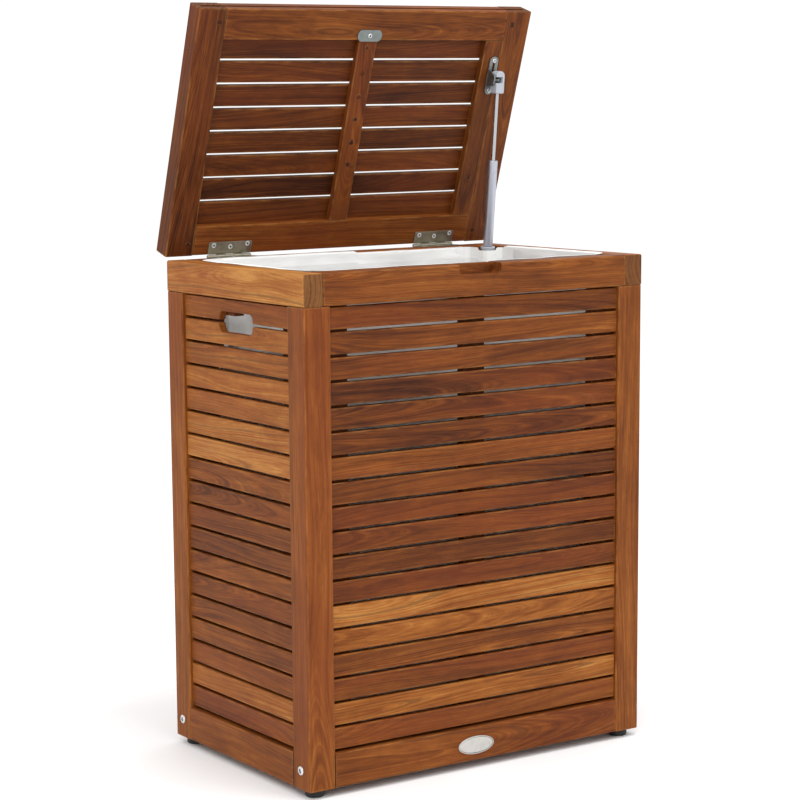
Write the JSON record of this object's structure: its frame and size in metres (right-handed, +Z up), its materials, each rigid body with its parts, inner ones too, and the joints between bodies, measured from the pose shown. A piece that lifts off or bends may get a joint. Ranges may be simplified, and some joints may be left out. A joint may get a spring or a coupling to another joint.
{
  "type": "laundry hamper",
  "caption": "Slatted wooden laundry hamper on short feet, with a hanging cloth bag, side hand holes and a framed slatted lid held open by a strut.",
  "frame": {"origin": "on the floor, below the middle of the whole object's box with its lid open", "axes": "+Z up, the front with the finger notch faces -Y, +X to the right seen from the front"},
  "size_m": [0.6052, 0.414, 1.1156],
  "materials": {
    "teak_frame": "oiled teak with streaky grain",
    "teak_collar": "oiled teak, a little lighter",
    "teak_slats": "oiled teak that varies from slat to slat",
    "teak_lid": "oiled teak, a little darker",
    "teak_deck": "unfinished hardwood",
    "hinge_steel": "dull nickel plate",
    "bolt_steel": "satin stainless steel",
    "zinc_plate": "zinc plate",
    "badge_metal": "satin, blank",
    "rod_steel": "ground and polished",
    "strut_metal": "silver-grey paint",
    "strut_plastic": "silver-grey",
    "rubber_foot": "matte black",
    "catch_plastic": "matte black",
    "cotton_cloth": "off-white plain weave cotton"
  },
  "bodies": {
    "cabinet": {"post_front_left": "teak_frame", "foot_front_left": "rubber_foot", "bolt_front_left": "bolt_steel", "post_front_right": "teak_frame", "foot_front_right": "rubber_foot", "bolt_front_right": "bolt_steel", "bottom_rail_front": "teak_frame", "collar_rail_front": "teak_collar", "slat_panel_front": "teak_slats", "post_back_left": "teak_frame", "foot_back_left": "rubber_foot", "bolt_back_left": "bolt_steel", "post_back_right": "teak_frame", "foot_back_right": "rubber_foot", "bolt_back_right": "bolt_steel", "bottom_rail_back": "teak_frame", "collar_rail_back": "teak_collar", "slat_panel_back": "teak_slats", "bottom_rail_left": "teak_frame", "collar_rail_left": "teak_collar", "slat_panel_left": "teak_slats", "bottom_rail_right": "teak_frame", "collar_rail_right": "teak_collar", "slat_panel_right": "teak_slats", "floor_deck": "teak_deck", "badge_plate": "badge_metal", "laundry_bag": "cotton_cloth", "magnetic_catch": "catch_plastic", "strut_body_bracket": "zinc_plate", "hinge_left_body_leaf": "hinge_steel", "hinge_left_pin": "hinge_steel", "hinge_right_body_leaf": "hinge_steel", "hinge_right_pin": "hinge_steel"},
    "lid": {"lid_stile_left": "teak_lid", "lid_stile_right": "teak_lid", "lid_rail_front": "teak_lid", "lid_rail_back": "teak_lid", "lid_slat_1": "teak_lid", "lid_slat_2": "teak_lid", "lid_slat_3": "teak_lid", "lid_slat_4": "teak_lid", "lid_slat_5": "teak_lid", "lid_slat_6": "teak_lid", "lid_slat_7": "teak_lid", "lid_slat_8": "teak_lid", "lid_batten_centre": "teak_lid", "lid_batten_strut": "teak_lid", "strike_plate": "zinc_plate", "strut_lid_bracket": "zinc_plate", "hinge_left_lid_leaf": "hinge_steel", "hinge_right_lid_leaf": "hinge_steel"},
    "strut_rod_end": {"strut_clip": "strut_plastic", "strut_rod": "rod_steel"},
    "strut_cylinder_end": {"strut_cylinder": "strut_metal", "strut_foot_socket": "strut_plastic"}
  },
  "joints": [
    {"name": "lid_hinge", "type": "hinge", "parent": "cabinet", "child": "lid", "pos_m": [0, 0.1768, 0.742], "axis": [1, 0, 0], "range_deg": [0, 72]},
    {"name": "strut_pivot", "type": "hinge", "parent": "lid", "child": "strut_rod_end", "pos_m": [0.247, 0.07875, 1.00171], "axis": [1, 0, 0], "range_deg": [0, 9.7]},
    {"name": "strut_slide", "type": "slide", "parent": "strut_rod_end", "child": "strut_cylinder_end", "axis": [0, -0.0995, 0.995], "range_m": [0, 0.0763]}
  ],
  "couplings": [
    {"joint": "strut_pivot", "follows": "lid_hinge", "ratio": 0.13312},
    {"joint": "strut_slide", "follows": "lid_hinge", "m_per_rad": 0.060629}
  ]
}
